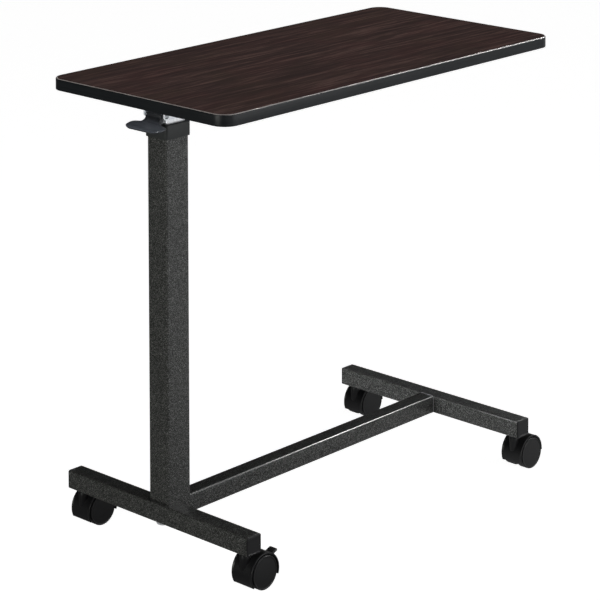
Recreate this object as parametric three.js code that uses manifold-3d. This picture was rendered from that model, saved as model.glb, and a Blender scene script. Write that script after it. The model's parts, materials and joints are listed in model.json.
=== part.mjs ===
// Overbed table: a C-shaped, height-adjustable bedside table on four swivelling twin-wheel casters.
// Millimetres, +Z up. The origin is on the floor under the middle of the tabletop.
// +X runs along the tabletop from the column side to the free end.
// -Y is the front, the long side nearest a seated user.
import * as THREE from "three";
import { mergeVertices } from "three/addons/utils/BufferGeometryUtils.js";
import Module from "manifold-3d";

const wasm = await Module();
wasm.setup();

// ---------------------------------------------------------------- driving dimensions
const TOP_LENGTH = 762; // tabletop along X
const TOP_WIDTH = 381; // tabletop along Y
const TOP_HEIGHT = 711; // writing surface above the floor, lift fully down
const TOP_THICK = 18;
const UNDER_TOP = TOP_HEIGHT - TOP_THICK;

const TUBE = 28.6; // square tube of the base
const TUBE_WALL = 1.6;
const TUBE_RADIUS = 2.6;
const BASE_Z0 = 58.2; // underside of the base tubes
const BASE_Z1 = BASE_Z0 + TUBE;
const FOOT_LENGTH = 390; // over the end caps, along Y
const STEM_INSET = 19.4; // caster swivel axis from the foot's end
const STEM_Y = FOOT_LENGTH / 2 - STEM_INSET;

const COLUMN_X = -312.5; // axis of the lift column, which stands at y = 0
const COLUMN_L = 46; // along X
const COLUMN_W = 42; // along Y
const COLUMN_WALL = 1.6;
const COLUMN_TOP = 657;
const BORE_L = COLUMN_L - 2 * COLUMN_WALL;
const BORE_W = COLUMN_W - 2 * COLUMN_WALL;
const FOOT_BOLT_X = -327.6; // column bolt through the foot
const STRETCHER_BOLT_X = -301; // column bolt through the stretcher

const CYLINDER_R = 11; // gas spring cylinder
const CYLINDER_Z0 = 94;
const ROD_R = 4; // gas spring rod
const ROD_TOP = 651.9;
const RELEASE_PIN_R = 2;

const CHANNEL_T = 2.5; // pressed channel under the tabletop
const CHANNEL_Z0 = 670;
const CHANNEL_Z1 = 690;

const PIVOT_X = -337; // height lever pivot
const PIVOT_Z = 676;
const PIVOT_R = 2.5;
const RUNNING_FIT = 0.08; // radial clearance on the pivot pin and the wheel axles

// The two feet, then the two ends of each foot.
const FEET = [
  { foot: "column", footX: -330.2, underColumn: true },
  { foot: "free", footX: 301.2, underColumn: false },
];
const ENDS = [
  { end: "front", side: -1 },
  { end: "rear", side: 1 },
];

// ---------------------------------------------------------------- materials
const standard = (settings) => new THREE.MeshStandardMaterial(settings);
const MATERIAL = {
  laminate: standard({ color: 0x38261f, roughness: 0.5, metalness: 0 }),
  backer: standard({ color: 0x24211f, roughness: 0.7, metalness: 0 }),
  core: standard({ color: 0x9a7b55, roughness: 0.9, metalness: 0 }),
  band: standard({ color: 0x1b1c20, roughness: 0.45, metalness: 0 }),
  powder: standard({ color: 0x2d2d2c, roughness: 0.55, metalness: 0.4 }),
  chrome: standard({ color: 0xe6e8ea, roughness: 0.12, metalness: 1 }),
  zinc: standard({ color: 0xb9bcc0, roughness: 0.35, metalness: 1 }),
  plastic: standard({ color: 0x17181a, roughness: 0.45, metalness: 0 }),
  wheel: standard({ color: 0x222326, roughness: 0.5, metalness: 0 }),
  nylon: standard({ color: 0xd9d6cc, roughness: 0.5, metalness: 0 }),
  steel: standard({ color: 0x8b8e92, roughness: 0.35, metalness: 1 }),
};

// ---------------------------------------------------------------- solids
// Welds a geometry's vertices, drops collapsed triangles and makes a Manifold of it.
function solid(geometry) {
  const bare = geometry.clone();
  bare.deleteAttribute("normal");
  bare.deleteAttribute("uv");
  const welded = mergeVertices(bare, 1e-3);
  const index = welded.index.array;
  const triangles = [];
  for (let i = 0; i < index.length; i += 3) {
    const [a, b, c] = [index[i], index[i + 1], index[i + 2]];
    if (a !== b && b !== c && a !== c) triangles.push(a, b, c);
  }
  return new wasm.Manifold(
    new wasm.Mesh({
      numProp: 3,
      vertProperties: welded.attributes.position.array,
      triVerts: new Uint32Array(triangles),
    }),
  );
}

function geometryOf(manifold) {
  const mesh = manifold.getMesh();
  const points = new Float32Array(mesh.numVert * 3);
  for (let i = 0; i < mesh.numVert; i++) {
    const start = i * mesh.numProp;
    points.set(mesh.vertProperties.subarray(start, start + 3), i * 3);
  }
  const indexed = new THREE.BufferGeometry();
  indexed.setAttribute("position", new THREE.BufferAttribute(points, 3));
  indexed.setIndex(new THREE.BufferAttribute(new Uint32Array(mesh.triVerts), 1));
  const flat = indexed.toNonIndexed();
  flat.computeVertexNormals();
  return flat;
}

const cut = (body, ...tools) =>
  geometryOf(tools.reduce((rest, tool) => rest.subtract(solid(tool)), solid(body)));
const join = (body, ...others) =>
  geometryOf(others.reduce((sum, other) => sum.add(solid(other)), solid(body)));

// ---------------------------------------------------------------- drawings
// Rounded rectangle centred on (x, y).
function roundRect(width, height, radius, x = 0, y = 0, PathType = THREE.Shape) {
  const path = new PathType();
  const [x0, x1, y0, y1] = [x - width / 2, x + width / 2, y - height / 2, y + height / 2];
  path.moveTo(x0 + radius, y0);
  path.lineTo(x1 - radius, y0);
  path.absarc(x1 - radius, y0 + radius, radius, -Math.PI / 2, 0, false);
  path.lineTo(x1, y1 - radius);
  path.absarc(x1 - radius, y1 - radius, radius, 0, Math.PI / 2, false);
  path.lineTo(x0 + radius, y1);
  path.absarc(x0 + radius, y1 - radius, radius, Math.PI / 2, Math.PI, false);
  path.lineTo(x0, y0 + radius);
  path.absarc(x0 + radius, y0 + radius, radius, Math.PI, Math.PI * 1.5, false);
  return path;
}

// Section of a rounded rectangular tube.
function ring(width, height, radius, wall, x = 0, y = 0) {
  const shape = roundRect(width, height, radius, x, y);
  const holeRadius = Math.max(radius - wall, 0.4);
  shape.holes.push(
    roundRect(width - 2 * wall, height - 2 * wall, holeRadius, x, y, THREE.Path),
  );
  return shape;
}

const columnRect = (length, width, radius) => roundRect(length, width, radius, COLUMN_X);
const columnRing = (length, width, radius, wall) => ring(length, width, radius, wall, COLUMN_X);

// Closed outline. A step is [x, y] for a line, or [controlX, controlY, x, y] for a curve.
function outline([start, ...steps]) {
  const shape = new THREE.Shape();
  shape.moveTo(...start);
  for (const step of steps) {
    if (step.length === 4) shape.quadraticCurveTo(...step);
    else shape.lineTo(...step);
  }
  shape.closePath();
  return shape;
}

// Side view listed as [x, z] steps, turned into the (z, x) drawing that alongY takes.
const sideOutline = (steps) =>
  outline(steps.map((step) => (step.length === 4
    ? [step[1], step[0], step[3], step[2]]
    : [step[1], step[0]])));

// ---------------------------------------------------------------- extruded and turned bodies
// Exact axis swaps: each entry says which old coordinate becomes the new x, y and z.
const Z_TO_X = [2, 0, 1]; // also turns y to z
const Z_TO_Y = [1, 2, 0];
function swapAxes(geometry, order) {
  const position = geometry.attributes.position;
  for (let i = 0; i < position.count; i++) {
    const old = [position.getX(i), position.getY(i), position.getZ(i)];
    position.setXYZ(i, ...order.map((axis) => old[axis]));
  }
  return geometry;
}

const extrude = (shape, depth, curveSegments = 4) =>
  new THREE.ExtrudeGeometry(shape, { depth, bevelEnabled: false, curveSegments });
// alongX shapes are drawn in (y, z); alongY shapes are drawn in (z, x).
const alongZ = (shape, z0, z1, segments) =>
  extrude(shape, z1 - z0, segments).translate(0, 0, z0);
const alongX = (shape, x0, x1, segments) =>
  swapAxes(extrude(shape, x1 - x0, segments), Z_TO_X).translate(x0, 0, 0);
const alongY = (shape, y0, y1, segments) =>
  swapAxes(extrude(shape, y1 - y0, segments), Z_TO_Y).translate(0, y0, 0);

// Y range from near to far, on the +Y side or mirrored to the -Y side.
const spanY = (side, near, far) => (side > 0 ? [near, far] : [-far, -near]);

const box = (x0, x1, y0, y1, z0, z1) =>
  new THREE.BoxGeometry(x1 - x0, y1 - y0, z1 - z0)
    .translate((x0 + x1) / 2, (y0 + y1) / 2, (z0 + z1) / 2);

// Turned solids. Profiles are [radius, distance along the axis].
const lathe = (profile, segments, phiStart) =>
  new THREE.LatheGeometry(profile.map((p) => new THREE.Vector2(...p)), segments, phiStart);
const turnedZ = (profile, segments, x = 0, y = 0) =>
  swapAxes(lathe(profile, segments), Z_TO_X).translate(x, y, 0);
const turnedY = (profile, segments, x = 0, z = 0) => lathe(profile, segments).translate(x, 0, z);
const rodProfile = (radius, from, to) => [[0, from], [radius, from], [radius, to], [0, to]];
const rodZ = (radius, z0, z1, segments, x, y) =>
  turnedZ(rodProfile(radius, z0, z1), segments, x, y);
const rodY = (radius, y0, y1, segments, x, z) =>
  turnedY(rodProfile(radius, y0, y1), segments, x, z);

// ---------------------------------------------------------------- groups
const table = new THREE.Group();
table.name = "overbed_table";

function addGroup(x = 0, y = 0) {
  const group = new THREE.Group();
  group.position.set(x, y, 0);
  table.add(group);
  return group;
}

function add(parent, name, geometry, material) {
  const mesh = new THREE.Mesh(geometry, material);
  mesh.name = name;
  parent.add(mesh);
}

// ---------------------------------------------------------------- base: feet, stretcher, end caps
const BASE_MID_Z = (BASE_Z0 + BASE_Z1) / 2;
const CAP_PLATE = 2.2; // visible plate of an end cap
const CAP_PLUG = 12; // plug behind it, short enough to clear the caster stem
const CAP_GAP = 0.02;
const PLUG_WIDTH = TUBE - 2 * TUBE_WALL - 0.3;
const STRETCHER_GAP = 0.05; // at each foot
const STEM_HOLE_R = 5.3;
const BOLT_HOLE_R = 4.6;

const boltHole = (x) => rodZ(BOLT_HOLE_R, BASE_Z0 - 2, BASE_Z1 + 2, 12, x);

function footTube(footX, underColumn) {
  const halfLength = FOOT_LENGTH / 2 - CAP_PLATE - CAP_GAP;
  const section = ring(TUBE, TUBE, TUBE_RADIUS, TUBE_WALL, BASE_MID_Z, footX);
  const holes = [-STEM_Y, STEM_Y].map((y) =>
    rodZ(STEM_HOLE_R, BASE_Z0 - 2, BASE_Z0 + 6, 12, footX, y));
  if (underColumn) holes.push(boltHole(FOOT_BOLT_X));
  return cut(alongY(section, -halfLength, halfLength, 1), ...holes);
}

function stretcherTube() {
  const section = ring(TUBE, TUBE, TUBE_RADIUS, TUBE_WALL, 0, BASE_MID_Z);
  const x0 = FEET[0].footX + TUBE / 2 + STRETCHER_GAP;
  const x1 = FEET[1].footX - TUBE / 2 - STRETCHER_GAP;
  return cut(alongX(section, x0, x1, 1), boltHole(STRETCHER_BOLT_X));
}

function endCap(footX, side) {
  const outer = FOOT_LENGTH / 2;
  const plate = roundRect(TUBE, TUBE, TUBE_RADIUS, BASE_MID_Z, footX);
  const plug = roundRect(PLUG_WIDTH, PLUG_WIDTH, 1, BASE_MID_Z, footX);
  const plugSpan = spanY(side, outer - CAP_PLATE - CAP_PLUG, outer - CAP_PLATE / 2);
  return join(
    alongY(plate, ...spanY(side, outer - CAP_PLATE, outer), 1),
    alongY(plug, ...plugSpan, 1),
  );
}

const base = addGroup();
for (const { foot, footX, underColumn } of FEET) {
  add(base, `foot_tube_${foot}_side`, footTube(footX, underColumn), MATERIAL.powder);
}
add(base, "stretcher_tube", stretcherTube(), MATERIAL.powder);
for (const { foot, footX } of FEET) {
  for (const { end, side } of ENDS) {
    add(base, `end_cap_${foot}_side_${end}`, endCap(footX, side), MATERIAL.plastic);
  }
}

// ---------------------------------------------------------------- lift column
const MAST_L = 40; // along X
const MAST_W = 36; // along Y
const COLLAR_Z0 = 640;
const COLLAR_Z1 = 662.5;
const COLLAR_PROUD = 2.5;
const CYLINDER_BORE = 9.5; // bore radius
const CYLINDER_Z1 = 585;
const CYLINDER_NECK = 15; // depth of the rod guide at the top

const outerColumn = () =>
  alongZ(columnRing(COLUMN_L, COLUMN_W, 3, COLUMN_WALL), BASE_Z1 + 0.02, COLUMN_TOP, 1);

// Base plate inside the column's foot, with a cup that locates the gas spring.
function columnBasePlate() {
  const plate = alongZ(columnRect(BORE_L - 0.3, BORE_W - 0.3, 1.4), BASE_Z1 + 0.05, BASE_Z1 + 5, 1);
  const cup = rodZ(14, BASE_Z1 + 4, BASE_Z1 + 11, 18, COLUMN_X);
  return cut(
    join(plate, cup),
    rodZ(CYLINDER_R + 0.3, CYLINDER_Z0 - 0.05, BASE_Z1 + 12, 20, COLUMN_X),
    ...[FOOT_BOLT_X, STRETCHER_BOLT_X].map((x) => rodZ(4.25, BASE_Z1 - 1, BASE_Z1 + 6.2, 12, x)),
  );
}

// Hexagon flange bolt up through the base into the plate.
function flangeBolt(x) {
  const seatZ = BASE_Z0 - 0.05;
  const flange = 1.9;
  const hexHeight = 5.6;
  const hex = swapAxes(new THREE.CylinderGeometry(7.5, 7.5, hexHeight, 6), Z_TO_X);
  hex.translate(x, 0, seatZ - flange + 0.2 - hexHeight / 2);
  return join(
    rodZ(4, seatZ - 1, BASE_Z1 + 5.4, 12, x),
    rodZ(10.5, seatZ - flange, seatZ, 20, x),
    hex,
  );
}

// Collar over the column's mouth, with a skirt inside it that guides the mast.
// The pocket for the column wall stops below the collar's top, so the skirt stays joined there.
function columnCollar() {
  const outside = columnRect(COLUMN_L + 2 * COLLAR_PROUD, COLUMN_W + 2 * COLLAR_PROUD, 4.5);
  const pocket = columnRing(COLUMN_L + 0.2, COLUMN_W + 0.2, 3.1, COLUMN_WALL + 0.2);
  const mouth = columnRect(MAST_L + 0.5, MAST_W + 0.5, 3.2);
  return cut(
    alongZ(outside, COLLAR_Z0, COLLAR_Z1, 2),
    alongZ(pocket, COLLAR_Z0 - 1, COLUMN_TOP + 0.1, 1),
    alongZ(mouth, COLLAR_Z0 - 2, COLLAR_Z1 + 2, 1),
  );
}

// The cylinder of the lockable gas spring stands in the base plate's cup.
function gasSpringCylinder() {
  const profile = [
    [0, CYLINDER_Z0],
    [CYLINDER_R - 1, CYLINDER_Z0],
    [CYLINDER_R, CYLINDER_Z0 + 1],
    [CYLINDER_R, CYLINDER_Z1 - 1.5],
    [CYLINDER_R - 1.5, CYLINDER_Z1],
    [ROD_R + 0.2, CYLINDER_Z1],
    [ROD_R + 0.2, CYLINDER_Z1 - CYLINDER_NECK],
    [CYLINDER_BORE, CYLINDER_Z1 - CYLINDER_NECK],
    [CYLINDER_BORE, CYLINDER_Z0 + 4],
    [0, CYLINDER_Z0 + 4],
  ];
  return turnedZ(profile, 20, COLUMN_X);
}

const column = addGroup();
add(column, "outer_column", outerColumn(), MATERIAL.powder);
add(column, "column_base_plate", columnBasePlate(), MATERIAL.steel);
add(column, "column_bolt_foot", flangeBolt(FOOT_BOLT_X), MATERIAL.zinc);
add(column, "column_bolt_stretcher", flangeBolt(STRETCHER_BOLT_X), MATERIAL.zinc);
add(column, "column_collar", columnCollar(), MATERIAL.plastic);
add(column, "gas_spring_cylinder", gasSpringCylinder(), MATERIAL.steel);

// ---------------------------------------------------------------- moving mast
const MAST_WALL = 1.5;
const MAST_Z0 = 104;
const MAST_Z1 = CHANNEL_Z1 - CHANNEL_T - 0.1;
const HEAD_Z0 = 640; // release head
const HEAD_Z1 = 660;

// The slot in the -X wall lets the lever's finger in.
function innerMast() {
  const wallX = COLUMN_X - MAST_L / 2;
  return cut(
    alongZ(columnRing(MAST_L, MAST_W, 3, MAST_WALL), MAST_Z0, MAST_Z1, 1),
    box(wallX - 2, wallX + 4, -5.5, 5.5, 665, 684.5),
  );
}

// Slide bush round the mast's lower end.
const mastSlideBush = () =>
  cut(
    alongZ(columnRect(BORE_L - 0.5, BORE_W - 0.5, 2), MAST_Z0 - 4, MAST_Z0 + 26, 1),
    alongZ(columnRect(MAST_L + 0.1, MAST_W + 0.1, 3), MAST_Z0 - 0.05, MAST_Z0 + 30, 1),
    rodZ(CYLINDER_R + 1, MAST_Z0 - 6, MAST_Z0 + 6, 20, COLUMN_X),
  );

// Rod with its piston, reaching up into the release head.
function gasSpringRod() {
  const pistonR = CYLINDER_BORE - 0.3;
  const pistonZ0 = CYLINDER_Z0 + 10;
  const pistonZ1 = CYLINDER_Z0 + 22;
  const profile = [
    [0, pistonZ0], [pistonR, pistonZ0], [pistonR, pistonZ1],
    [ROD_R, pistonZ1], [ROD_R, ROD_TOP], [0, ROD_TOP],
  ];
  return turnedZ(profile, 20, COLUMN_X);
}

function releaseHead() {
  const length = MAST_L - 2 * MAST_WALL - 0.2;
  const width = MAST_W - 2 * MAST_WALL - 0.2;
  const rodBoreTop = ROD_TOP + 0.1;
  return cut(
    alongZ(columnRect(length, width, 1.4), HEAD_Z0, HEAD_Z1, 1),
    rodZ(ROD_R + 0.1, HEAD_Z0 - 1, rodBoreTop, 20, COLUMN_X),
    rodZ(RELEASE_PIN_R + 0.1, rodBoreTop - 1, HEAD_Z1 + 1, 16, COLUMN_X),
  );
}

const lift = addGroup();
add(lift, "inner_mast", innerMast(), MATERIAL.chrome);
add(lift, "mast_slide_bush", mastSlideBush(), MATERIAL.nylon);
add(lift, "gas_spring_rod", gasSpringRod(), MATERIAL.chrome);
add(lift, "release_head", releaseHead(), MATERIAL.steel);

// ---------------------------------------------------------------- channel and cross straps
const CHANNEL_X0 = -341;
const CHANNEL_X1 = 150;
const CHANNEL_IN = 20.2; // half width inside
const CHANNEL_OUT = CHANNEL_IN + CHANNEL_T;
const STRAP_T = 2.95; // flat cross straps between channel and tabletop
const STRAP_W = 32;
const STRAP_L = 300;
const STRAP_X = [-250, 118];
const STRAP_SCREW_Y = 132;
const SCREW_PLACES = STRAP_X.flatMap((x) => [[x, -STRAP_SCREW_Y], [x, STRAP_SCREW_Y]]);

// The mast is welded between the channel's cheeks, and the lever pivots in its -X end.
function supportChannel() {
  const web = box(
    CHANNEL_X0, CHANNEL_X1, -CHANNEL_OUT, CHANNEL_OUT, CHANNEL_Z1 - CHANNEL_T, CHANNEL_Z1,
  );
  // Full depth by the mast, tapering towards the free end.
  const cheekSide = sideOutline([
    [CHANNEL_X0, CHANNEL_Z1 - 1],
    [CHANNEL_X1, CHANNEL_Z1 - 1],
    [CHANNEL_X1, CHANNEL_Z1 - 9],
    [CHANNEL_X0 + 230, CHANNEL_Z0],
    [CHANNEL_X0 + 3, CHANNEL_Z0],
    [CHANNEL_X0, CHANNEL_Z0 + 3],
  ]);
  const cheeks = ENDS.map(({ side }) => alongY(cheekSide, ...spanY(side, CHANNEL_IN, CHANNEL_OUT)));
  return cut(
    join(web, ...cheeks),
    rodY(PIVOT_R + RUNNING_FIT, -30, 30, 20, PIVOT_X, PIVOT_Z),
  );
}

function crossStrap(strapX) {
  const outside = roundRect(STRAP_W, STRAP_L, 6, strapX);
  const holes = [-STRAP_SCREW_Y, STRAP_SCREW_Y].map((y) =>
    rodZ(2.6, CHANNEL_Z1 - 1, UNDER_TOP + 1, 12, strapX, y));
  return cut(alongZ(outside, CHANNEL_Z1 + 0.02, CHANNEL_Z1 + STRAP_T, 2), ...holes);
}

add(lift, "support_channel", supportChannel(), MATERIAL.zinc);
STRAP_X.forEach((x, i) => add(lift, `cross_strap_${i + 1}`, crossStrap(x), MATERIAL.zinc));

// ---------------------------------------------------------------- tabletop
const TOP_RADIUS = 25; // corner radius in plan
const LAMINATE = 0.8; // wood-grain sheet on top and balancing sheet below
const LAYER_GAP = 0.001; // between each sheet and the core
const BAND = 2; // edge band thickness
const BAND_INSET = BAND + 0.1; // sheet edges from the band's outside

function sheet(z0, z1) {
  const length = TOP_LENGTH - 2 * BAND_INSET;
  const width = TOP_WIDTH - 2 * BAND_INSET;
  return alongZ(roundRect(length, width, TOP_RADIUS - BAND_INSET), z0, z1, 4);
}

const screwHoles = (top) =>
  SCREW_PLACES.map(([x, y]) => rodZ(2.15, UNDER_TOP - 1, top, 10, x, y));
const tabletopCore = () =>
  cut(sheet(UNDER_TOP + LAMINATE, TOP_HEIGHT - LAMINATE), ...screwHoles(UNDER_TOP + 13));
const tabletopLaminate = () => sheet(TOP_HEIGHT - LAMINATE + LAYER_GAP, TOP_HEIGHT);
const tabletopBacker = () =>
  cut(sheet(UNDER_TOP, UNDER_TOP + LAMINATE - LAYER_GAP), ...screwHoles(UNDER_TOP + 2));
const edgeBand = () =>
  alongZ(ring(TOP_LENGTH, TOP_WIDTH, TOP_RADIUS, BAND), UNDER_TOP, TOP_HEIGHT, 4);

function strapScrew(x, y) {
  const seatZ = CHANNEL_Z1 - 0.02;
  const profile = [
    [0, seatZ - 2.4], [3.4, seatZ - 2.4], [4.8, seatZ - 1], [4.8, seatZ],
    [2, seatZ], [2, UNDER_TOP + 10], [0, UNDER_TOP + 12],
  ];
  return turnedZ(profile, 10, x, y);
}

add(lift, "tabletop_core", tabletopCore(), MATERIAL.core);
add(lift, "tabletop_laminate", tabletopLaminate(), MATERIAL.laminate);
add(lift, "tabletop_backer", tabletopBacker(), MATERIAL.backer);
add(lift, "edge_band", edgeBand(), MATERIAL.band);
SCREW_PLACES.forEach(([x, y], i) => {
  add(lift, `strap_screw_${i + 1}`, strapScrew(x, y), MATERIAL.zinc);
});

// ---------------------------------------------------------------- height release
// Lifting the paddle turns the lever on its pin.
// The finger inside the mast then pushes the release pin down.
const LEVER_HALF = 16; // half length of the pivot boss along Y

// Lever seen from above, [x, y] steps.
const LEVER_PLAN = [
  [-332.8, -LEVER_HALF],
  [-343.4, -LEVER_HALF],
  [-347, -20, -347.4, -22.5],
  [-347.6, -33.6, -354, -34.4],
  [-367.6, -34.6, -369.4, -24],
  [-370.6, 0, -369.4, 24],
  [-367.6, 34.6, -354, 34.4],
  [-347.6, 33.6, -347.4, 22.5],
  [-347, 20, -343.4, LEVER_HALF],
  [-332.8, LEVER_HALF],
];
// Lever seen from the side, [x, z] steps.
const LEVER_SIDE = [
  [-339.6, 682.2],
  [-336.4, 682.8, -334.2, 680.4],
  [-333.4, 672.6],
  [-336.4, 666, -343.4, 662.6],
  [-352, 659.2, -368.6, 656.3],
  [-370.4, 656.6, -370.4, 658.2],
  [-368.6, 660.4, -362, 661.4],
  [-352, 663.2, -349, 665.8],
  [-344.8, 670.5, -342.6, 673.6],
  [-341.9, 679, -339.6, 682.2],
];

function leverPivotPin() {
  const profile = [
    [0, -25], [2.6, -25], [3.6, -24.2], [3.6, -22.8],
    [PIVOT_R, -22.8], [PIVOT_R, 23.6], [1.9, 24.2], [0, 24.2],
  ];
  return turnedY(profile, 20, PIVOT_X, PIVOT_Z);
}

function heightLever() {
  const plan = solid(alongZ(outline(LEVER_PLAN), 650, 690, 4));
  const side = solid(alongY(sideOutline(LEVER_SIDE), -40, 40, 3));
  const boss = rodY(4.1, -LEVER_HALF, LEVER_HALF, 16, PIVOT_X, PIVOT_Z);
  const finger = box(-335.5, -308.5, -4, 4, 673.3, 678.8);
  return cut(
    join(geometryOf(plan.intersect(side)), boss, finger),
    rodY(PIVOT_R + RUNNING_FIT, -20, 20, 20, PIVOT_X, PIVOT_Z),
  );
}

function releasePin() {
  const profile = [
    [0, 656.4], [RELEASE_PIN_R, 656.4], [RELEASE_PIN_R, 671.4],
    [RELEASE_PIN_R - 0.8, 672.5], [0, 672.5],
  ];
  return turnedZ(profile, 16, COLUMN_X);
}

add(lift, "lever_pivot_pin", leverPivotPin(), MATERIAL.steel);
add(lift, "height_lever", heightLever(), MATERIAL.plastic);
add(lift, "release_pin", releasePin(), MATERIAL.steel);

// ---------------------------------------------------------------- casters
// Each is drawn with its origin on the floor under the wheel axle, the swivel axis at -TRAIL.
const DEGREE = Math.PI / 180;
const TRAIL = 22;
const WHEEL_R = 25; // to the flats of the tread
const WHEEL_SIDES = 28;
const WHEEL_Y0 = 5; // inner face from the caster's middle plane
const WHEEL_Y1 = 20.5; // outer face at the dome
const AXLE_R = 3;
const HOOD_R = 27.3;
const HOOD_RI = 25.9;
const HOOD_FROM = -14 * DEGREE;
const HOOD_TO = 205 * DEGREE;
const WEB_HALF = 4.5; // half thickness of the hood's middle web
const BRAKE_X = 11.5; // brake pedal pin
const BRAKE_Z = WHEEL_R + 15.5;

// Brake pedal outlines, [x, z].
const BRAKE_ARM = [
  [8.6, 42.2], [8.3, 39.4], [10.4, 37.4], [14.2, 36.6], [22.5, 36.6],
  [27.5, 38.6], [26.8, 42.2], [17, 43.4], [11.5, 43.9],
];
const BRAKE_PAD = [
  [24.6, 37.6], [26.2, 37.4], [35.4, 41.2], [35.9, 42.4], [35, 44.2], [32, 44.4], [23.6, 41.2],
];

// Points [x, z] on an arc about the wheel axle.
const arc = (radius, from, to, steps) =>
  Array.from({ length: steps + 1 }, (_, i) => {
    const angle = from + ((to - from) * i) / steps;
    return [radius * Math.cos(angle), WHEEL_R + radius * Math.sin(angle)];
  });
const arcBand = (outer, inner, from, to, steps) =>
  sideOutline([...arc(outer, from, to, steps), ...arc(inner, to, from, steps)]);

const brakePinHole = () => rodY(1.56, -10, 10, 12, BRAKE_X, BRAKE_Z);

function casterStem() {
  const seatZ = BASE_Z0 - 0.05;
  const profile = [
    [0, 37], [4.5, 37], [4.5, 54.2], [8.8, 54.2], [8.8, seatZ],
    [5, seatZ], [5, 80], [4, 81.5], [0, 81.5],
  ];
  return turnedZ(profile, 14, -TRAIL);
}

// A cylindrical fender over both wheels, a middle web that holds the axle,
// and a tower for the swivel stem.
function casterHood(brake) {
  const fenderHalf = WHEEL_Y1 - 0.3;
  const fenderSide = arcBand(HOOD_R, HOOD_RI, HOOD_FROM, HOOD_TO, 16);
  const webSide = sideOutline([
    ...arc(HOOD_R - 0.6, HOOD_FROM + 0.3, HOOD_TO - 0.05, 12),
    ...arc(6.5, 200 * DEGREE, 340 * DEGREE, 4),
  ]);
  const wheelSpace = (side) =>
    solid(rodY(HOOD_RI + 0.2, ...spanY(side, WEB_HALF, 30), 24, 0, WHEEL_R));
  let hood = solid(rodZ(9.5, 30, 53.6, 16, -TRAIL))
    .subtract(wheelSpace(1))
    .subtract(wheelSpace(-1))
    .add(solid(alongY(fenderSide, -fenderHalf, fenderHalf)))
    .add(solid(alongY(webSide, -WEB_HALF, WEB_HALF)))
    .subtract(solid(rodZ(4.7, 35, 60, 16, -TRAIL)))
    .subtract(solid(rodY(AXLE_R + RUNNING_FIT, -10, 10, 20, 0, WHEEL_R)));
  if (brake) {
    // Opening through the fender and a fork in the web for the brake pedal.
    const opening = arcBand(40, HOOD_RI - 0.3, 6 * DEGREE, 47 * DEGREE, 3);
    const fork = arcBand(HOOD_R + 4, 12, 2 * DEGREE, 72 * DEGREE, 4);
    hood = hood
      .subtract(solid(alongY(opening, -6.6, 6.6)))
      .subtract(solid(alongY(fork, -2.6, 2.6)))
      .subtract(solid(brakePinHole()));
  }
  return geometryOf(hood);
}

function casterAxle() {
  const half = WHEEL_Y1 - 3.8;
  return rodY(AXLE_R, -half, half, 16, 0, WHEEL_R);
}

// Tread with rounded shoulders and a domed hub cover over a blind bore.
// The lathe is turned half a facet so that a flat of the tread faces the floor.
function casterWheel(side) {
  const treadR = WHEEL_R / Math.cos(Math.PI / WHEEL_SIDES);
  const boreR = AXLE_R + RUNNING_FIT;
  const boreEnd = WHEEL_Y1 - 3.5;
  const profile = [
    [boreR, WHEEL_Y0], [treadR - 1.2, WHEEL_Y0], [treadR, WHEEL_Y0 + 1.6],
    [treadR, WHEEL_Y1 - 4], [treadR - 1.6, WHEEL_Y1 - 1.8], [15, WHEEL_Y1 - 0.4],
    [0, WHEEL_Y1], [0, boreEnd], [boreR, boreEnd], [boreR, WHEEL_Y0],
  ];
  // The mirrored profile is reversed to keep its faces outward.
  const sided = side > 0 ? profile : profile.map(([radius, y]) => [radius, -y]).reverse();
  return lathe(sided, WHEEL_SIDES, Math.PI / WHEEL_SIDES).translate(0, 0, WHEEL_R);
}

function brakePedal() {
  const arm = alongY(sideOutline(BRAKE_ARM), -2.3, 2.3);
  const pad = alongY(sideOutline(BRAKE_PAD), -6, 6);
  return cut(join(arm, pad), brakePinHole());
}

const brakePin = () => rodY(1.45, -4.4, 4.4, 10, BRAKE_X, BRAKE_Z);

// Only the casters under the column-side foot have brakes.
for (const { foot, footX, underColumn: brake } of FEET) {
  for (const { end, side } of ENDS) {
    const where = `${foot}_${end}`;
    const caster = addGroup(footX + TRAIL, side * STEM_Y);
    add(caster, `caster_stem_${where}`, casterStem(), MATERIAL.zinc);
    add(caster, `caster_hood_${where}`, casterHood(brake), MATERIAL.plastic);
    add(caster, `caster_axle_${where}`, casterAxle(), MATERIAL.steel);
    add(caster, `caster_wheel_${where}_a`, casterWheel(-1), MATERIAL.wheel);
    add(caster, `caster_wheel_${where}_b`, casterWheel(1), MATERIAL.wheel);
    if (brake) {
      add(caster, `caster_brake_${where}`, brakePedal(), MATERIAL.plastic);
      add(caster, `caster_brake_pin_${where}`, brakePin(), MATERIAL.steel);
    }
  }
}

export default table;
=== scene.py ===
"""Looks for the overbed table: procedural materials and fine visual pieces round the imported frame.

Lengths in the builders below are written in millimetres and scaled to metres in one place.
"""

import json
import math

import bmesh
import bpy
from mathutils import Matrix, Vector

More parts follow.
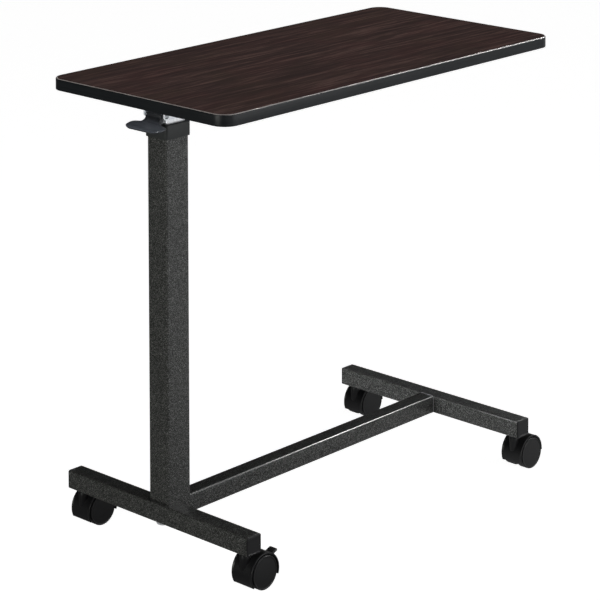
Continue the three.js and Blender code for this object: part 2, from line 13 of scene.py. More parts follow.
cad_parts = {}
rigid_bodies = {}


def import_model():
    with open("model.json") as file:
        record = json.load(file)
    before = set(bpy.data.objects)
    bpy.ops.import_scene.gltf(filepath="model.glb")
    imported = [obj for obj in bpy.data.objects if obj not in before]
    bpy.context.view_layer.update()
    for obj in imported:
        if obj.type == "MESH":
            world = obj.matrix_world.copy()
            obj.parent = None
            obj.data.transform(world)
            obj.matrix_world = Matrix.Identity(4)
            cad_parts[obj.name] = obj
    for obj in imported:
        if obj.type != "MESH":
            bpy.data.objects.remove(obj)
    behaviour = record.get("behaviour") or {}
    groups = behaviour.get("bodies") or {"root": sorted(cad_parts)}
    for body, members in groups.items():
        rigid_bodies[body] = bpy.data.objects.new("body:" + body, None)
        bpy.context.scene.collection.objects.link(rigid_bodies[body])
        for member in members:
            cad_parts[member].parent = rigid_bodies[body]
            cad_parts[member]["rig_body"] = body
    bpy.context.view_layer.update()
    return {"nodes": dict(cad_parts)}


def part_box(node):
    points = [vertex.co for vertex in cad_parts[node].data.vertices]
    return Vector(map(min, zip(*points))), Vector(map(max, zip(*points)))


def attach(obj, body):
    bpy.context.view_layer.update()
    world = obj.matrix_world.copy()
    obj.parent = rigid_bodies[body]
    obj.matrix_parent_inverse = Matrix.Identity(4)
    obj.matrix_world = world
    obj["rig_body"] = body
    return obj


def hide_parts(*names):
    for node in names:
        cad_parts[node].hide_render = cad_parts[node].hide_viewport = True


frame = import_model()
nodes = frame["nodes"]
scene = bpy.context.scene
MM = 0.001


def mm_box(node):
    lo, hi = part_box(node)
    return lo / MM, hi / MM


# ------------------------------------------------------------------ node materials
def lin(r, g, b):
    """sRGB 0-255 to linear."""
    out = []
    for c in (r, g, b):
        c /= 255
        out.append(c / 12.92 if c <= 0.04045 else ((c + 0.055) / 1.055) ** 2.4)
    return (*out, 1.0)


class Mat:
    def __init__(self, name):
        self.m = bpy.data.materials.new(name)
        self.m.use_nodes = True
        self.t = self.m.node_tree
        self.t.nodes.clear()
        self.out = self.new("ShaderNodeOutputMaterial")
        self.b = self.new("ShaderNodeBsdfPrincipled")
        self.link(self.b.outputs[0], self.out.inputs[0])
        self.co = self.new("ShaderNodeTexCoord").outputs["Object"]

    def new(self, kind, **props):
        n = self.t.nodes.new(kind)
        for k, v in props.items():
            setattr(n, k, v)
        return n

    def link(self, a, b):
        self.t.links.new(a, b)

    def put(self, socket, value):
        if isinstance(value, bpy.types.NodeSocket):
            self.link(value, socket)
        else:
            socket.default_value = value

    def mapped(self, scale, loc=(0, 0, 0), rot=(0, 0, 0), vec=None):
        n = self.new("ShaderNodeMapping")
        self.link(vec or self.co, n.inputs["Vector"])
        n.inputs["Scale"].default_value = scale
        n.inputs["Location"].default_value = loc
        n.inputs["Rotation"].default_value = rot
        return n.outputs["Vector"]

    def noise(self, vec, scale, detail=2.0, rough=0.5, distortion=0.0, out="Fac"):
        n = self.new("ShaderNodeTexNoise")
        self.link(vec, n.inputs["Vector"])
        n.inputs["Scale"].default_value = scale
        n.inputs["Detail"].default_value = detail
        n.inputs["Roughness"].default_value = rough
        n.inputs["Distortion"].default_value = distortion
        return n.outputs[out]

    def voronoi(self, vec, scale, feature="F1", out="Distance", randomness=1.0):
        n = self.new("ShaderNodeTexVoronoi", feature=feature)
        self.link(vec, n.inputs["Vector"])
        n.inputs["Scale"].default_value = scale
        n.inputs["Randomness"].default_value = randomness
        return n.outputs[out]

    def ramp(self, fac, stops, interpolation="LINEAR"):
        n = self.new("ShaderNodeValToRGB")
        n.color_ramp.interpolation = interpolation
        e = n.color_ramp.elements
        while len(e) < len(stops):
            e.new(0.5)
        for i, (p, c) in enumerate(stops):
            e[i].position = p
            e[i].color = c if len(c) == 4 else (*c, 1)
        self.link(fac, n.inputs["Fac"])
        return n.outputs["Color"]

    def grey(self, fac, stops):
        return self.ramp(fac, [(p, (v, v, v, 1)) for p, v in stops])

    def mix(self, fac, a, b, blend="MIX"):
        n = self.new("ShaderNodeMix", data_type="RGBA", blend_type=blend)
        self.put(n.inputs[0], fac)
        self.put(n.inputs[6], a)
        self.put(n.inputs[7], b)
        return n.outputs[2]

    def math(self, op, a, b=0.0, clamp=False):
        n = self.new("ShaderNodeMath", operation=op, use_clamp=clamp)
        self.put(n.inputs[0], a)
        self.put(n.inputs[1], b)
        return n.outputs[0]

    def bump(self, height, strength, distance, normal=None):
        n = self.new("ShaderNodeBump")
        self.put(n.inputs["Height"], height)
        n.inputs["Strength"].default_value = strength
        n.inputs["Distance"].default_value = distance
        if normal is not None:
            self.link(normal, n.inputs["Normal"])
        return n.outputs["Normal"]

    def set(self, **values):
        names = {"color": "Base Color", "metal": "Metallic", "rough": "Roughness", "spec": "Specular IOR Level",
                 "normal": "Normal", "coat": "Coat Weight", "coat_rough": "Coat Roughness", "ior": "IOR"}
        for k, v in values.items():
            self.put(self.b.inputs[names[k]], v)
        return self.m


def wood():
    """Dark walnut-look laminate, grain along X."""
    k = Mat("laminate_walnut")
    warp = k.noise(k.mapped((5.0, 16.0, 1.0)), 1.0, 3, 0.55, 0.4, out="Color")
    warped = k.new("ShaderNodeVectorMath", operation="MULTIPLY_ADD")
    k.link(warp, warped.inputs[0])
    warped.inputs[1].default_value = (0.04, 0.013, 0.0)
    k.link(k.co, warped.inputs[2])
    wv = warped.outputs[0]
    streak = k.noise(k.mapped((7.0, 150.0, 1.0), vec=wv), 1.0, 4, 0.62, 0.30)
    fine = k.noise(k.mapped((24.0, 420.0, 1.0), (3.1, 0, 0), vec=wv), 1.0, 3, 0.6, 0.2)
    figure = k.noise(k.mapped((2.2, 22.0, 1.0), (7.7, 2.0, 0), vec=wv), 1.0, 3, 0.55, 1.2)
    red = k.noise(k.mapped((9.0, 18.0, 1.0), (1.3, 5.0, 0)), 1.0, 3, 0.55, 0.5)
    olive = k.noise(k.mapped((8.0, 15.0, 1.0), (4.9, 0.7, 0)), 1.0, 3, 0.55, 0.5)
    pores = k.noise(k.mapped((60.0, 900.0, 1.0), (0, 2.2, 0), vec=wv), 1.0, 2, 0.5)
    tone = k.math("ADD", k.math("MULTIPLY", streak, 0.62), k.math("MULTIPLY", fine, 0.22))
    tone = k.math("ADD", tone, k.math("MULTIPLY", figure, 0.16))
    base = k.ramp(tone, [(0.40, lin(22, 13, 12)), (0.46, lin(44, 30, 27)), (0.52, lin(66, 47, 43)), (0.60, lin(108, 82, 75))])
    base = k.mix(k.grey(red, [(0.48, 0.0), (0.66, 0.45)]), base, k.mix(0.5, base, lin(88, 42, 40)), "MIX")
    base = k.mix(k.grey(olive, [(0.50, 0.0), (0.68, 0.60)]), base, k.mix(0.5, base, lin(64, 54, 34)), "MIX")
    base = k.mix(k.grey(pores, [(0.30, 0.55), (0.44, 0.0)]), base, lin(22, 14, 13), "MIX")
    base = k.mix(0.65, base, lin(61, 51, 50), "MIX")
    rough = k.grey(fine, [(0.3, 0.62), (0.7, 0.50)])
    n1 = k.bump(k.math("ADD", k.math("MULTIPLY", fine, 0.6), k.math("MULTIPLY", pores, 0.5)), 0.20, 0.0004)
    return k.set(color=base, rough=rough, spec=0.0, normal=n1)


def pale_edge_line():
    """A pale line along the top edge, between the wood face and the moulding."""
    k = Mat("laminate_pale_edge_line")
    n = k.noise(k.mapped((60, 60, 60)), 1.0, 3)
    return k.set(color=k.ramp(n, [(0.3, lin(176, 166, 163)), (0.7, lin(204, 196, 193))]), rough=0.55, spec=0.3)


def backer():
    k = Mat("backer_sheet")
    n = k.noise(k.mapped((30, 30, 30)), 1.0, 4, 0.6)
    f = k.noise(k.mapped((900, 900, 900)), 1.0, 2)
    return k.set(color=k.ramp(n, [(0.3, lin(38, 36, 35)), (0.7, lin(50, 47, 45))]), rough=0.72, spec=0.2, normal=k.bump(f, 0.25, 0.0003))


def core():
    """Particle board: packed chips."""
    k = Mat("particle_board")
    v = k.voronoi(k.mapped((1, 1, 1)), 420, out="Color")
    n = k.noise(k.mapped((1, 1, 1)), 260, 3)
    c = k.mix(0.55, k.ramp(n, [(0.3, lin(140, 108, 72)), (0.7, lin(190, 158, 116))]), v, "OVERLAY")
    return k.set(color=c, rough=0.9, spec=0.1, normal=k.bump(n, 0.5, 0.0005))


def band():
    """Smooth black edge moulding with a faint lengthwise extrusion grain."""
    k = Mat("edge_moulding")
    n = k.noise(k.mapped((9, 9, 700)), 1.0, 3)
    m = k.noise(k.mapped((14, 14, 14)), 1.0, 2)
    g = k.noise(k.mapped((1400, 1400, 1400)), 1.0, 2)
    c = k.mix(k.grey(n, [(0.35, 0.0), (0.65, 1.0)]), lin(27, 30, 33), lin(33, 36, 39))
    r = k.grey(m, [(0.3, 0.30), (0.7, 0.38)])
    return k.set(color=c, rough=r, spec=0.26, normal=k.bump(k.math("ADD", k.math("MULTIPLY", n, 0.6), k.math("MULTIPLY", g, 0.4)), 0.10, 0.0002))


def hammertone():
    """Dark grey hammered powder coat: shallow dimples about 2 mm wide with paler flecks between them."""
    k = Mat("powder_coat_hammertone")
    wob = k.noise(k.mapped((1, 1, 1)), 300, 2, out="Color")
    add = k.new("ShaderNodeVectorMath", operation="MULTIPLY_ADD")
    k.link(wob, add.inputs[0])
    add.inputs[1].default_value = (0.0022, 0.0022, 0.0022)
    k.link(k.co, add.inputs[2])
    cells = k.voronoi(add.outputs[0], 600, "SMOOTH_F1")
    fleck = k.noise(add.outputs[0], 950, 3, 0.65)
    cloud = k.noise(k.mapped((9, 9, 5)), 1.0, 3)
    hf = k.grey(cells, [(0.10, 0.0), (0.62, 1.0)])
    light = k.math("MULTIPLY", hf, k.grey(fleck, [(0.48, 0.0), (0.60, 1.0)]))
    c = k.mix(k.grey(cloud, [(0.35, 0.0), (0.65, 1.0)]), lin(35, 36, 35), lin(42, 43, 42))
    c = k.mix(k.grey(cells, [(0.05, 0.7), (0.40, 0.0)]), c, lin(14, 14, 14))
    c = k.mix(light, c, lin(146, 147, 144))
    r = k.grey(fleck, [(0.35, 0.30), (0.65, 0.48)])
    nrm = k.bump(k.math("ADD", k.math("MULTIPLY", hf, 0.8), k.math("MULTIPLY", fleck, 0.3)), 0.42, 0.0004)
    return k.set(color=c, metal=0.15, rough=r, spec=0.22, coat=0.45, coat_rough=0.07, normal=nrm)


def chrome():
    k = Mat("chrome")
    n = k.noise(k.mapped((60, 60, 6)), 1.0, 3)
    s = k.noise(k.mapped((1600, 1600, 20)), 1.0, 2)
    c = k.ramp(n, [(0.3, lin(236, 238, 240)), (0.7, lin(249, 250, 251))])
    return k.set(color=c, metal=0.45, rough=k.grey(s, [(0.3, 0.26), (0.7, 0.36)]), normal=k.bump(s, 0.03, 0.0001))


def zinc():
    k = Mat("bright_zinc")
    n = k.voronoi(k.mapped((1, 1, 1)), 130, out="Color")
    f = k.noise(k.mapped((1, 1, 1)), 700, 3)
    c = k.mix(0.14, lin(222, 225, 228), n, "SOFT_LIGHT")
    return k.set(color=c, metal=0.5, rough=k.grey(f, [(0.3, 0.26), (0.7, 0.42)]), normal=k.bump(f, 0.08, 0.0002))


def steel(name="machined_steel", dark=lin(128, 131, 135), pale=lin(160, 163, 167)):
    k = Mat(name)
    f = k.noise(k.mapped((1, 1, 14)), 900, 3)
    c = k.ramp(f, [(0.3, dark), (0.7, pale)])
    return k.set(color=c, metal=1.0, rough=k.grey(f, [(0.3, 0.28), (0.7, 0.40)]), normal=k.bump(f, 0.06, 0.0002))


def plastic(name, dark, pale, rough, spec, grain=1500, strength=0.16):
    """Moulded plastic: fine spark-eroded grain and slow shade changes."""
    k = Mat(name)
    g = k.noise(k.mapped((1, 1, 1)), grain, 3, 0.6)
    n = k.noise(k.mapped((1, 1, 1)), 26, 3)
    c = k.ramp(n, [(0.32, dark), (0.68, pale)])
    r = k.math("ADD", k.grey(g, [(0.3, 0.0), (0.7, 0.10)]), rough - 0.05)
    return k.set(color=c, rough=r, spec=spec, normal=k.bump(g, strength, 0.00025))


def nylon():
    k = Mat("nylon_natural")
    n = k.noise(k.mapped((1, 1, 1)), 60, 3)
    g = k.noise(k.mapped((1, 1, 1)), 1200, 2)
    return k.set(color=k.ramp(n, [(0.3, lin(208, 205, 194)), (0.7, lin(222, 219, 209))]), rough=0.45, spec=0.4, normal=k.bump(g, 0.1, 0.0002))


M = {
    "laminate": wood(),
    "pale_edge_line": pale_edge_line(),
    "backer": backer(),
    "core": core(),
    "band": band(),
    "powder_coat": hammertone(),
    # weld beads: this pale grey is a painted highlight for the bright line the dark powder-coated beads catch at the
    # tube joints
    "weld": plastic("weld_painted_highlight", lin(120, 120, 123), lin(160, 160, 163), 0.30, 0.50, 900, 0.3),
    "chrome": chrome(),
    "zinc": zinc(),
    "steel": steel(),
    "steel_dark": steel("darkened_steel", lin(58, 60, 63), lin(78, 80, 84)),
    "nylon": nylon(),
    "black_plastic": plastic("black_plastic", lin(30, 31, 32), lin(37, 38, 39), 0.42, 0.42),
    "collar_plastic": plastic("collar_plastic", lin(48, 50, 50), lin(54, 56, 56), 0.50, 0.36),
    "cap_plastic": plastic("cap_plastic", lin(21, 21, 23), lin(27, 27, 29), 0.44, 0.32),
    "wheel_plastic": plastic("wheel_plastic", lin(24, 24, 25), lin(31, 31, 32), 0.42, 0.34),
    "hood_plastic": plastic("hood_plastic", lin(19, 19, 21), lin(26, 26, 28), 0.32, 0.42),
    "lever_plastic": plastic("lever_plastic", lin(44, 46, 50), lin(52, 54, 58), 0.36, 0.48),
}


# ------------------------------------------------------------------ mesh builders (millimetres)
def rrect(w, h, r, n=7):
    r = min(r, w / 2 - 1e-4, h / 2 - 1e-4)
    pts = []
    for cx, cy, a0 in ((w / 2 - r, h / 2 - r, 0), (-w / 2 + r, h / 2 - r, 90), (-w / 2 + r, -h / 2 + r, 180), (w / 2 - r, -h / 2 + r, 270)):
        for i in range(n + 1):
            a = math.radians(a0 + 90 * i / n)
            pts.append((cx + r * math.cos(a), cy + r * math.sin(a)))
    return pts


def along(axis, u, v, w):
    """u, v across and w along: (y, z) along X, (z, x) along Y, (x, y) along Z."""
    return {"X": (w, u, v), "Y": (v, w, u), "Z": (u, v, w)}[axis]


def loft(sections, closed=False):
    n, m = len(sections[0]), len(sections)
    verts = [p for s in sections for p in s]
    faces = []
    for k in range(m if closed else m - 1):
        a, b = k * n, ((k + 1) % m) * n
        for i in range(n):
            j = (i + 1) % n
            faces.append((a + i, a + j, b + j, b + i))
    if not closed:
        faces.append(tuple(reversed(range(n))))
        faces.append(tuple((m - 1) * n + i for i in range(n)))
    return verts, faces


def bar(axis, a0, a1, w, h, r, fillet, c=(0, 0), n=7, m=4):
    """Rounded-rectangle bar with filleted ends."""
    stops = []
    for i in range(m + 1):
        t = math.radians(90 * i / m)
        stops.append((a0 + fillet * (1 - math.cos(t)), fillet * (1 - math.sin(t))))
    for i in range(m + 1):
        t = math.radians(90 * i / m)
        stops.append((a1 - fillet * (1 - math.sin(t)), fillet * (1 - math.cos(t))))
    secs = []
    for pos, inset in stops:
        ring = rrect(w - 2 * inset, h - 2 * inset, max(r - inset, 0.2), n)
        secs.append([along(axis, u + c[0], v + c[1], pos) for u, v in ring])
    return loft(secs)


def shell(profile, plan, axis="Z", c=(0, 0), n=7):
    """Ring-shaped solid. profile: closed list of (inset from the plan's outer size, position); plan: (w, h, r)."""
    w, h, r = plan
    secs = [[along(axis, u + c[0], v + c[1], pos) for u, v in rrect(w - 2 * i, h - 2 * i, max(r - i, 0.2), n)] for i, pos in profile]
    return loft(secs, closed=True)


def lathe(profile, axis, c, n=64, closed=False, a0=0.0):
    """Turned solid round an axis through c. profile: (radius, position) pairs."""
    verts, rings = [], []
    for r, p in profile:
        if r < 1e-6:
            rings.append([len(verts)])
            verts.append(along(axis, c[0], c[1], p))
        else:
            rings.append(list(range(len(verts), len(verts) + n)))
            for i in range(n):
                a = a0 + 2 * math.pi * i / n
                verts.append(along(axis, c[0] + r * math.cos(a), c[1] + r * math.sin(a), p))
    faces = []
    pairs = list(zip(rings, rings[1:])) + ([(rings[-1], rings[0])] if closed else [])
    for a, b in pairs:
        for i in range(n):
            j = (i + 1) % n
            if len(a) == 1 and len(b) == 1:
                break
            if len(a) == 1:
                faces.append((a[0], b[j], b[i]))
            elif len(b) == 1:
                faces.append((a[i], a[j], b[0]))
            else:
                faces.append((a[i], a[j], b[j], b[i]))
    return verts, faces


def slab(outline, y0, y1, fillet=0.0, m=3):
    """Side outline [(x, z)] as a slab across y, its two faces pulled in by fillet (convex outlines)."""
    cx = sum(p[0] for p in outline) / len(outline)
    cz = sum(p[1] for p in outline) / len(outline)
    size = max(max(abs(p[0] - cx), abs(p[1] - cz)) for p in outline)
    secs = []
    stops = [(y0 + fillet * (1 - math.cos(math.radians(90 * i / m))), fillet * (1 - math.sin(math.radians(90 * i / m)))) for i in range(m + 1)]
    stops += [(y1 - fillet * (1 - math.sin(math.radians(90 * i / m))), fillet * (1 - math.cos(math.radians(90 * i / m)))) for i in range(m + 1)]
    for y, inset in stops:
        k = 1 - inset / size
        secs.append([(cx + (x - cx) * k, y, cz + (z - cz) * k) for x, z in outline])
    return loft(secs)


def joined(*parts):
    verts, faces = [], []
    for v, f in parts:
        o = len(verts)
        verts += list(v)
        faces += [tuple(i + o for i in q) for q in f]
    return verts, faces


def piece(name, shape, material, replaced=(), body=None, sharp=32, subsurf=0, bevel=0.0):
    verts, faces = shape
    me = bpy.data.meshes.new(name)
    me.from_pydata([(x * MM, y * MM, z * MM) for x, y, z in verts], [], faces)
    bm = bmesh.new()
    bm.from_mesh(me)
    bmesh.ops.remove_doubles(bm, verts=bm.verts, dist=1e-6)
    bmesh.ops.recalc_face_normals(bm, faces=bm.faces)
    bm.to_mesh(me)
    bm.free()
    for p in me.polygons:
        p.use_smooth = True
    me.set_sharp_from_angle(angle=math.radians(sharp))
    ob = bpy.data.objects.new(name, me)
    scene.collection.objects.link(ob)
    me.materials.append(M[material])
    if bevel:
        b = ob.modifiers.new("edge", "BEVEL")
        b.width, b.segments, b.limit_method, b.angle_limit = bevel * MM, 3, "ANGLE", math.radians(30)
    if subsurf:
        s = ob.modifiers.new("smooth", "SUBSURF")
        s.levels = s.render_levels = subsurf
    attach(ob, body or nodes[replaced[0]]["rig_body"])
    if replaced:
        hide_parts(*replaced)
    return ob


def keep(node, material, bevel=0.5):
    """A CAD node shown as it is: a new material and a small softened edge."""
    ob = nodes[node]
    ob.data.materials.clear()
    ob.data.materials.append(M[material])
    w = ob.modifiers.new("weld", "WELD")
    w.merge_threshold = 1e-6
    if bevel:
        b = ob.modifiers.new("edge", "BEVEL")
        b.width, b.segments, b.limit_method, b.angle_limit = bevel * MM, 2, "ANGLE", math.radians(38)
        b.use_clamp_overlap = True
    ob.modifiers.new("normals", "WEIGHTED_NORMAL").keep_sharp = True
    return ob


# ------------------------------------------------------------------ tabletop
lo, hi = mm_box("edge_band")
TL, TW, Z0, Z1 = hi.x - lo.x, hi.y - lo.y, lo.z, hi.z
TR = 25.0
TOPC = ((lo.x + hi.x) / 2, (lo.y + hi.y) / 2)


def plan_ring(inset, z, n=20):
    return [(u + TOPC[0], v + TOPC[1], z) for u, v in rrect(TL - 2 * inset, TW - 2 * inset, TR - inset, n)]


def turn(cx, cz, r, a0, a1, n):
    return [(cx + r * math.cos(math.radians(a0 + (a1 - a0) * i / n)), cz + r * math.sin(math.radians(a0 + (a1 - a0) * i / n))) for i in range(n + 1)]


piece(
    "tabletop_wood_face",
    loft([plan_ring(1.75, Z1 - 0.75), plan_ring(1.7, Z1 - 0.06), plan_ring(1.76, Z1)]),
    "laminate", ["tabletop_laminate"],
)
piece(
    "tabletop_pale_edge_line",
    loft([plan_ring(i, z) for i, z in ((1.69, Z1 - 0.02), (1.2, Z1 - 0.16), (0.62, Z1 - 0.62), (0.66, Z1 - 0.98), (1.69, Z1 - 0.98))], closed=True),
    "pale_edge_line", body=nodes["edge_band"]["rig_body"],
)
top_round = [(0.9 - 0.9 * math.sin(math.radians(a)), Z1 - 1.62 + 0.9 * math.cos(math.radians(a))) for a in (14, 35, 55, 75, 90)]
low_round = [(0.9 - 0.9 * math.cos(math.radians(a)), Z0 + 0.9 - 0.9 * math.sin(math.radians(a))) for a in (0, 22, 45, 67, 90)]
piece(
    "tabletop_edge_moulding",
    loft([plan_ring(i, z) for i, z in top_round + low_round + [(1.98, Z0), (1.98, Z1 - 1.0), (0.7, Z1 - 1.0)]], closed=True),
    "band", ["edge_band"],
)
keep("tabletop_core", "core", 0)
keep("tabletop_backer", "backer", 0)

# ------------------------------------------------------------------ base tubes, caps, welds
for side in ("column_side", "free_side"):
    lo, hi = mm_box(f"foot_tube_{side}")
    cx, cz, w = (lo.x + hi.x) / 2, (lo.z + hi.z) / 2, hi.x - lo.x
    piece(f"foot_{side}", bar("Y", lo.y, hi.y, w, w, 2.6, 0.25, (cz, cx)), "powder_coat", [f"foot_tube_{side}"])
    for end, s in (("front", -1), ("rear", 1)):
        node = f"end_cap_{side}_{end}"
        clo, chi = mm_box(node)
        y_out = clo.y if s < 0 else chi.y
        prof = [(0.25, 2.15), (0, 1.9), (0, 0.9), (0.26, 0.26), (0.9, 0.0), (2.6, 0.0), (3.0, 0.35), (5.5, 0.35)]
        secs = [[along("Y", u + cz, v + cx, y_out - s * d) for u, v in rrect(w - 2 * i, w - 2 * i, max(2.6 - i, 0.6))] for i, d in prof]
        plug = bar("Y", *sorted((y_out - s * 2.0, y_out - s * 14.0)), w - 3.6, w - 3.6, 1.2, 0.4, (cz, cx))
        piece(f"cap_{side}_{end}", joined(loft(secs), plug), "cap_plastic", [node])
lo, hi = mm_box("stretcher_tube")
SW, SC = hi.y - lo.y, (lo.z + hi.z) / 2
piece("stretcher", bar("X", lo.x, hi.x, SW, SW, 2.6, 0.2, (0, SC)), "powder_coat", ["stretcher_tube"])


def bead(path, radius, ripple=0.16, step=1.1, sides=10):
    """A weld bead along straight runs, with the ripples of its passes."""
    pts = []
    for a, b in zip(path, path[1:]):
        a, b = Vector(a), Vector(b)
        k = max(2, int((b - a).length / step))
        pts += [a.lerp(b, i / k) for i in range(k)]
    pts.append(Vector(path[-1]))
    secs = []
    for i, p in enumerate(pts):
        d = (pts[min(i + 1, len(pts) - 1)] - pts[max(i - 1, 0)]).normalized()
        u = d.orthogonal().normalized() if i == 0 else (prev - d * prev.dot(d)).normalized()
        prev = u
        v = d.cross(u)
        r = radius * (1 + ripple * (1 if i % 2 else -1))
        if i in (0, len(pts) - 1):
            r *= 0.45
        secs.append([tuple(p + (u * math.cos(2 * math.pi * j / sides) + v * math.sin(2 * math.pi * j / sides)) * r) for j in range(sides)])
    return loft(secs)


# these beads take the pale weld material, a painted highlight at the stretcher-foot joints
for label, x in (("column_side", lo.x - 0.1), ("free_side", hi.x + 0.1)):
    h = SW / 2
    parts = [
        bead([(x, s * (h - 0.1), lo.z + 1.4), (x, s * (h - 0.1), hi.z - 1.4)], 1.2) for s in (-1, 1)
    ] + [bead([(x, -h + 1.6, z), (x, h - 1.6, z)], 1.0) for z in (lo.z + 0.2, hi.z - 0.4)]
    piece(f"weld_{label}", joined(*parts), "weld", body=nodes["stretcher_tube"]["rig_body"], sharp=60)

# ------------------------------------------------------------------ column, collar, mast
lo, hi = mm_box("outer_column")
CX, CL, CW = (lo.x + hi.x) / 2, hi.x - lo.x, hi.y - lo.y
cz0, cz1 = lo.z, hi.z
piece(
    "column_tube",
    shell([(0.3, cz0), (0, cz0 + 0.3), (0, cz1 - 0.2), (0.2, cz1), (1.4, cz1), (1.6, cz1 - 0.2), (1.6, cz0 + 0.3), (1.4, cz0)], (CL, CW, 3.0), c=(CX, 0)),
    "powder_coat", ["outer_column"],
)
lo, hi = mm_box("column_collar")
kl, kw, k0, k1 = hi.x - lo.x, hi.y - lo.y, lo.z, hi.z
mlo, mhi = mm_box("inner_mast")
mouth = (kl - (mhi.x - mlo.x)) / 2 - 0.25
prof = [(2.3, k0), (0.5, k0), (0.12, k0 + 0.2), (0, k0 + 0.6), (0, k1 - 1.5), (0.2, k1 - 0.75), (0.7, k1 - 0.2), (1.4, k1),
        (mouth - 0.9, k1), (mouth - 0.25, k1 - 0.25), (mouth, k1 - 0.9), (mouth, k0 + 0.4), (mouth - 0.3, k0), (mouth - 0.85, k0), (mouth - 0.95, k0 + 0.3),
        (mouth - 0.95, cz1 + 0.15), (2.4, cz1 + 0.15)]
# The collar's plan is kl x kw, and its mouth follows the mast.
secs = []
for i, z in prof:
    t = i / mouth
    w = kl - 2 * i
    h = kw - 2 * i
    secs.append([(u + CX, v, z) for u, v in rrect(w, h, 4.5 * (1 - t) + 3.2 * t, 8)])
piece("collar", loft(secs, closed=True), "collar_plastic", ["column_collar"])
keep("inner_mast", "chrome", 0.9)
keep("mast_slide_bush", "nylon")
keep("gas_spring_rod", "chrome", 0.3)
keep("gas_spring_cylinder", "black_plastic", 0.3)
keep("release_head", "steel")
keep("column_base_plate", "steel")
blo, bhi = mm_box("column_bolt_foot")
bx, by = (blo.x + bhi.x) / 2, (blo.y + bhi.y) / 2
under_foot = mm_box("foot_tube_column_side")[0].z
head = [(0, -8.6), (3.5, -8.5), (6.4, -8.0), (8.6, -6.9), (9.8, -5.2), (10.1, -3.2), (10.2, -2.4), (11.6, -2.3), (11.9, -1.9), (11.9, -0.5), (11.6, -0.05), (4.0, -0.05)]
piece("column_bolt_foot_head", lathe([(r, under_foot + z) for r, z in head] + [(4.0, bhi.z - 0.6), (3.4, bhi.z), (0, bhi.z)], "Z", (bx, by), 40), "zinc", ["column_bolt_foot"])
keep("column_bolt_stretcher", "zinc", 0.4)
keep("support_channel", "zinc", 0.6)
keep("cross_strap_1", "zinc", 0.4)
keep("cross_strap_2", "zinc", 0.4)
for i in range(1, 5):
    keep(f"strap_screw_{i}", "zinc", 0.2)
keep("lever_pivot_pin", "steel", 0.3)
keep("release_pin", "steel", 0.2)


# ------------------------------------------------------------------ lever
def quad(p0, p1, p2, n):
    return [
        (
            (1 - t) ** 2 * p0[0] + 2 * t * (1 - t) * p1[0] + t * t * p2[0],
            (1 - t) ** 2 * p0[1] + 2 * t * (1 - t) * p1[1] + t * t * p2[1],
        )
        for t in (i / n for i in range(1, n + 1))
    ]


def resample(points, n):
    d = [0.0]
    for a, b in zip(points, points[1:]):
        d.append(d[-1] + math.dist(a, b))
    out = []
    for i in range(n + 1):
        s = d[-1] * i / n
        k = max(j for j in range(len(d)) if d[j] <= s + 1e-9)
        k = min(k, len(points) - 2)
        t = (s - d[k]) / max(d[k + 1] - d[k], 1e-9)
        out.append(tuple(points[k][c] + (points[k + 1][c] - points[k][c]) * t for c in (0, 1)))
    return out


LN = 46
under = [(-334.2, 680.4), (-333.4, 672.6)] + quad((-333.4, 672.6), (-336.4, 666), (-343.4, 662.6), 8) + quad((-343.4, 662.6), (-352, 659.2), (-368.9, 656.4), 12)
over = [(-339.0, 682.2)] + quad((-339.0, 682.2), (-341.9, 679), (-342.6, 673.6), 6) + quad((-342.6, 673.6), (-344.8, 670.5), (-349, 665.8), 6)
over += quad((-349, 665.8), (-352, 663.4), (-360, 662.0), 6) + quad((-360, 662.0), (-368.6, 660.8), (-370.4, 658.4), 8)
under, over = resample(under, LN), resample(over, LN)


def half_width(x):
    table = [(-332, 16), (-342.4, 16), (-345.0, 17.6), (-346.6, 20.2), (-347.4, 23.4), (-348.0, 28.0), (-349.0, 32.2), (-350.6, 35.2), (-352.6, 36.8),
             (-355.4, 37.5), (-360.5, 37.2), (-364, 36.0), (-366.6, 34.0), (-368.4, 31.0), (-369.4, 27.8), (-370.6, 23.4)]
    for (a, wa), (b, wb) in zip(table, table[1:]):
        if x >= b:
            t = 0 if x >= a else (a - x) / (a - b)
            return wa + (wb - wa) * t
    return table[-1][1]


secs = []
for (ux, uz), (ox, oz) in zip(under, over):
    mid = Vector(((ux + ox) / 2, 0, (uz + oz) / 2))
    n = Vector((ox - ux, 0, oz - uz))
    t = n.length
    n.normalize()
    hw = half_width(mid.x)
    secs.append([tuple(mid + n * v + Vector((0, u, 0))) for u, v in rrect(2 * hw, t, min(t * 0.42, 1.9), 5)])
# round both ends off
for index, sign in ((0, 1), (-1, -1)):
    ring = secs[index]
    c = sum((Vector(p) for p in ring), Vector()) / len(ring)
    nxt = sum((Vector(p) for p in secs[index + sign]), Vector()) / len(ring)
    d = (c - nxt).normalized() * 0.55
    extra = [tuple(c + (Vector(p) - c) * 0.90 + d) for p in ring]
    secs = [extra] + secs if sign == 1 else secs + [extra]
lever_parts = [loft(secs)]
lever_parts.append(lathe([(2.6, -15.9), (3.9, -15.9), (4.1, -15.7), (4.1, 15.7), (3.9, 15.9), (2.6, 15.9)], "Y", (676.0, -337.0), 32, closed=True))
lever_parts.append(bar("X", -335.5, -308.5, 8, 5.5, 0.8, 0.6, (0, 676.05)))
piece("lever_paddle", joined(*lever_parts), "lever_plastic", ["height_lever"], sharp=50)


